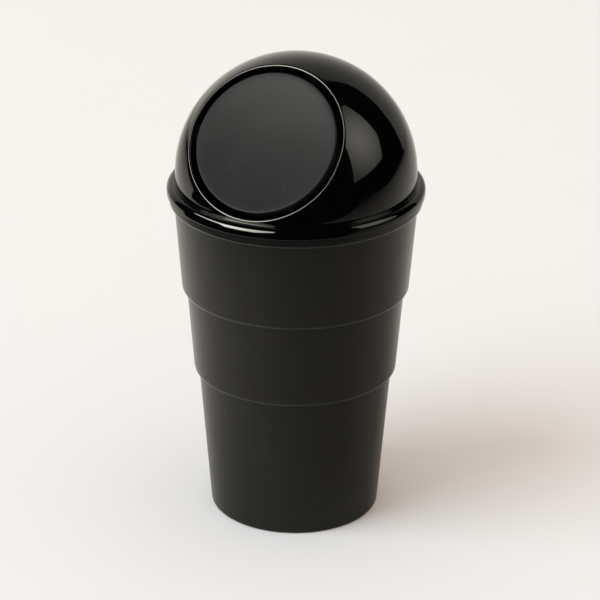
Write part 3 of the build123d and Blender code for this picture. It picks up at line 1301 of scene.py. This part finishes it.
def flat_sheet(name, points, material):
    """Flat sheet of one face that belongs to the stage."""
    mesh = bpy.data.meshes.new(name)
    mesh.from_pydata([tuple(point) for point in points], [], [tuple(range(len(points)))])
    mesh.materials.append(material)
    sheet = bpy.data.objects.new(name, mesh)
    bpy.context.scene.collection.objects.link(sheet)
    return sheet


def only_reflected(sheet):
    """Show a sheet of the stage in reflections and nowhere else."""
    sheet.visible_camera = False
    sheet.visible_diffuse = False
    sheet.visible_shadow = False


def paper(name, values):
    """Pale matt paper with a faint mottle."""
    material, nodes = new_finish(name)
    place = nodes.add("ShaderNodeTexCoord", {}, {}, "Object")
    mottle = noise(nodes, place, MOTTLE, 4.0)
    tone = tinted(nodes, values, mottle, MOTTLE_LIFT)
    end_finish(nodes, {"Base Color": tone, "Roughness": PAPER_ROUGHNESS, "Specular IOR Level": PAPER_SHEEN})
    return material


def paper_with_painted_shade(name, values, painted_fades, patch, patch_reach, faint):
    """Pale matt paper with painted shade: it brightens along each heading and away from a patch, as painted
    fall-off of light and a painted shadow.

    Each fade is a heading, the way over which the paper goes from black to bright, and its share at the bin.
    """
    material, nodes = new_finish(name)
    place = nodes.add("ShaderNodeTexCoord", {}, {}, "Object")
    away = nodes.add("ShaderNodeVectorMath", {"operation": "DISTANCE"}, {0: place, 1: patch}, "Value")
    # Painted shadow round the patch, times painted fall-off of light along each heading
    mask = faint + (1.0 - faint) * nodes.add("ShaderNodeClamp", {}, {0: away / patch_reach})
    for heading, reach, start in painted_fades:
        dot = {0: place, 1: heading}
        along = nodes.add("ShaderNodeVectorMath", {"operation": "DOT_PRODUCT"}, dot, "Value")
        mask = mask * nodes.add("ShaderNodeClamp", {}, {0: along / reach + start})
    black = (0.0, 0.0, 0.0, 1.0)
    tone = nodes.add("ShaderNodeMix", {"data_type": "RGBA"}, {0: mask, 6: black, 7: (*values, 1.0)}, 2)
    end_finish(nodes, {"Base Color": tone, "Roughness": PAPER_ROUGHNESS, "Specular IOR Level": PAPER_SHEEN})
    return material


def lit_cloth(name, values, strength):
    """Cloth that glows evenly."""
    material, nodes = new_finish(name)
    glow = nodes.add("ShaderNodeEmission", {}, {"Color": (*values, 1.0), "Strength": strength})
    nodes.add("ShaderNodeOutputMaterial", {}, {"Surface": glow})
    return material


def glowing_paper(name, centre, spread, faint, bright):
    """Lit paper that is brightest at a point and fades round it."""
    material, nodes = new_finish(name)
    place = nodes.add("ShaderNodeTexCoord", {}, {}, "Object")
    away = nodes.add("ShaderNodeVectorMath", {"operation": "DISTANCE"}, {0: place, 1: centre}, "Value")
    fade = away.math("EXPONENT", -((away / spread) ** 2.0))
    strength = faint + (bright - faint) * fade
    glow = nodes.add("ShaderNodeEmission", {}, {"Color": PAPER_TINT, "Strength": strength})
    nodes.add("ShaderNodeOutputMaterial", {}, {"Surface": glow})
    return material


# Places on the stage in metres: on the floor to the right and the front, on the wall to the right and up
FLOOR_REACH = 12.0
MIRRORED_DROP = 0.2 * MM
# Painted fall-off of light on the floor seen in reflections. Each fade: its heading, the way from black to
# bright, and its share at the bin
PAINTED_FLOOR_FADES = (((-0.25, -0.97), 0.5, 0.75), ((1.0, 0.0), 0.8, 1.2), ((-1.0, 0.0), 1.5, 1.0))
# Painted shadow on the floor seen in reflections: its middle, the way over which it fades, and its share at
# the middle
PAINTED_SHADOW_PATCH = (0.05, 0.05)
PAINTED_SHADOW_REACH = 0.2
PAINTED_SHADOW_SHARE = 0.45
LIT_FLOOR = (
    (-0.891, -0.699),
    (-0.385, -0.115),
    (-0.285, -0.115),
    (-0.275, 0.025),
    (-0.13, 0.2),
    (-0.02, 0.25),
    (0.258, 0.222),
    (0.72, 0.33),
    (0.7, 0.14),
    (0.78, 0.01),
    (0.99, -0.21),
    (1.73, -0.757),
    (1.73, -1.6),
    (-0.891, -1.6),
)
WALL_DISTANCE = 1.2
WALL_EDGE = ((1.6, 0.0), (1.59, 0.3), (1.48, 0.68), (1.2, 1.0), (0.9, 1.3), (0.69, 1.88))
WALL_CENTRE = -0.35

# Bearings and heights in degrees, as seen from the middle of the dome: 0 is towards the camera
KEY_EDGE = ((-91.0, 29.0), (-89.0, 61.0), (-64.0, 69.0), (-39.0, 61.0), (-37.0, 29.0))
KEY_DISTANCE = 4.5
GLOSS_DISTANCE = 2.5
SIDE_DISTANCE = 1.0
GLOSS_EDGE = (
    (-108.0, 28.0),
    (-108.0, 36.0),
    (-74.0, 39.5),
    (-50.0, 45.5),
    (-22.0, 48.0),
    (-20.0, 32.0),
    (-34.0, 4.0),
    (-62.0, 3.0),
    (-72.0, 25.0),
)
GLOSS_CENTRE = (-62.0, 26.0)
SIDE_EDGE = (
    (54.7, 3.8),
    (92.0, 9.5),
    (101.0, 23.0),
    (107.0, 53.0),
    (95.0, 58.0),
    (77.0, 60.0),
    (62.0, 49.0),
    (57.5, 28.0),
)
SIDE_CENTRE = (77.0, 33.0)

# Glow of the lit papers: how far it spreads, and its strength far out and in the middle
WALL_GLOW = (0.75, 0.32, 0.95)
SIDE_GLOW = (0.36, 0.3, 2.3)
GLOSS_SPREAD = 0.75
GLOSS_FAINT = 0.5

# Camera
SENSOR_WIDTH = 36.0
NEAREST_SEEN = 0.01


class CARBIN_OT_stage(bpy.types.Operator):
    """Lay the floor, hang the lights and set the camera"""

    bl_idname = "carbin.stage"
    bl_label = "Stage"

    def execute(self, context):
        settings = context.scene.car_bin
        stage = settings.stage
        turn = stage.azimuth
        right = Vector((math.cos(turn), math.sin(turn), 0.0))
        front = Vector((math.sin(turn), -math.cos(turn), 0.0))
        up = Vector((0.0, 0.0, 1.0))
        dome_centre = Layout(settings).dome_centre

        def aimed(bearing, height, distance):
            heading = math.radians(bearing)
            rise = math.radians(height)
            level = right * math.sin(heading) + front * math.cos(heading)
            return dome_centre + distance * (level * math.cos(rise) + up * math.sin(rise))

        def on_floor(side, near):
            return right * side + front * near

        corners = ((-1.0, -1.0), (1.0, -1.0), (1.0, 1.0), (-1.0, 1.0))
        floor_points = [(x * FLOOR_REACH, y * FLOOR_REACH, 0.0) for x, y in corners]
        floor = flat_sheet("floor", floor_points, paper("pale_floor", stage.floor_colour))
        floor.visible_glossy = False
        floor.visible_shadow = False
        # The floor seen only in reflections, with painted shade: painted fall-off of light and a painted
        # shadow near the bin
        lit_points = [on_floor(*point) - up * MIRRORED_DROP for point in LIT_FLOOR]
        painted_fades = [(on_floor(*heading), reach, start) for heading, reach, start in PAINTED_FLOOR_FADES]
        patch = on_floor(*PAINTED_SHADOW_PATCH)
        shade_painted_floor = paper_with_painted_shade(
            "dimmed_floor", stage.mirrored_colour, painted_fades, patch, PAINTED_SHADOW_REACH, PAINTED_SHADOW_SHARE
        )
        only_reflected(flat_sheet("floor_in_reflections", lit_points, shade_painted_floor))

        wall_outline = WALL_EDGE + tuple((-x, z) for x, z in reversed(WALL_EDGE))
        wall_points = [right * x - front * WALL_DISTANCE + up * z for x, z in wall_outline]
        wall_centre = on_floor(WALL_CENTRE, -WALL_DISTANCE)
        wall_glow = glowing_paper("lit_wall", wall_centre, *WALL_GLOW)
        only_reflected(flat_sheet("wall_in_reflections", wall_points, wall_glow))

        side_points = [aimed(*spot, SIDE_DISTANCE) for spot in SIDE_EDGE]
        side_glow = glowing_paper("lit_screen", aimed(*SIDE_CENTRE, SIDE_DISTANCE), *SIDE_GLOW)
        only_reflected(flat_sheet("screen_in_reflections", side_points, side_glow))

        gloss_points = [aimed(*spot, GLOSS_DISTANCE) for spot in GLOSS_EDGE]
        gloss_centre = aimed(*GLOSS_CENTRE, GLOSS_DISTANCE)
        bright = stage.gloss_strength
        gloss_glow = glowing_paper("key_screen", gloss_centre, GLOSS_SPREAD, GLOSS_FAINT * bright, bright)
        only_reflected(flat_sheet("key_in_reflections", gloss_points, gloss_glow))

        key_points = [aimed(*spot, KEY_DISTANCE) for spot in KEY_EDGE]
        key_glow = lit_cloth("soft_box", stage.key_colour, stage.key_strength)
        key = flat_sheet("key_light", key_points, key_glow)
        key.visible_camera = False
        key.visible_glossy = False

        world = bpy.data.worlds.new("pale_room")
        context.scene.world = world
        world.use_nodes = True
        background = world.node_tree.nodes["Background"]
        background.inputs["Color"].default_value = (*stage.ambient_colour, 1.0)
        background.inputs["Strength"].default_value = stage.ambient
        world.cycles_visibility.glossy = False

        back = front * math.cos(stage.elevation) + up * math.sin(stage.elevation)
        level_up = back.cross(right)
        rolled_right = right * math.cos(stage.roll) + level_up * math.sin(stage.roll)
        rolled_up = level_up * math.cos(stage.roll) - right * math.sin(stage.roll)
        target = right * stage.target_side + up * stage.target_height
        camera = bpy.data.objects.new("camera", bpy.data.cameras.new("camera"))
        camera.data.lens = stage.focal_length
        camera.data.sensor_width = SENSOR_WIDTH
        camera.data.clip_start = NEAREST_SEEN
        camera.matrix_world = placed(rolled_right, rolled_up, back, target + back * stage.distance)
        context.scene.collection.objects.link(camera)
        context.scene.camera = camera
        context.scene.view_settings.view_transform = "Standard"
        return {"FINISHED"}


# Panel and registration

STEPS = (CARBIN_OT_cup, CARBIN_OT_lid, CARBIN_OT_flap, CARBIN_OT_pin, CARBIN_OT_spring, CARBIN_OT_stage)


class CARBIN_PT_panel(bpy.types.Panel):
    """Lists the bin's pieces and their settings"""

    bl_idname = "CARBIN_PT_panel"
    bl_label = "Car Bin"
    bl_space_type = "VIEW_3D"
    bl_region_type = "UI"
    bl_category = "Car Bin"

    def draw(self, context):
        for step in STEPS:
            self.layout.operator(step.bl_idname)
        settings = context.scene.car_bin
        for part in ("cup", "lid", "flap", "hinge", "spring", "finishes", "stage"):
            box = self.layout.box()
            box.label(text=part.title())
            group = getattr(settings, part)
            for prop in group.bl_rna.properties:
                if not prop.is_readonly and prop.identifier != "name":
                    box.prop(group, prop.identifier)


GROUPS = (CupSizes, LidSizes, FlapSizes, HingeSizes, SpringSizes, Finishes, StageSettings, CarBin)


def register():
    """Register the settings, the steps and the panel."""
    for kind in GROUPS:
        bpy.utils.register_class(kind)
    bpy.types.Scene.car_bin = bpy.props.PointerProperty(
        type=CarBin, name="Car Bin", description="All settings of the bin"
    )
    for kind in (*STEPS, CARBIN_PT_panel):
        bpy.utils.register_class(kind)


def unregister():
    """Take everything out again."""
    for kind in (CARBIN_PT_panel, *reversed(STEPS)):
        bpy.utils.unregister_class(kind)
    del bpy.types.Scene.car_bin
    for kind in reversed(GROUPS):
        bpy.utils.unregister_class(kind)


def main():
    """Build the bin and its stage."""
    register()
    bpy.ops.carbin.cup()
    bpy.ops.carbin.lid()
    bpy.ops.carbin.flap()
    bpy.ops.carbin.pin()
    bpy.ops.carbin.spring()
    bpy.ops.carbin.stage()


if __name__ == "__main__":
    main()
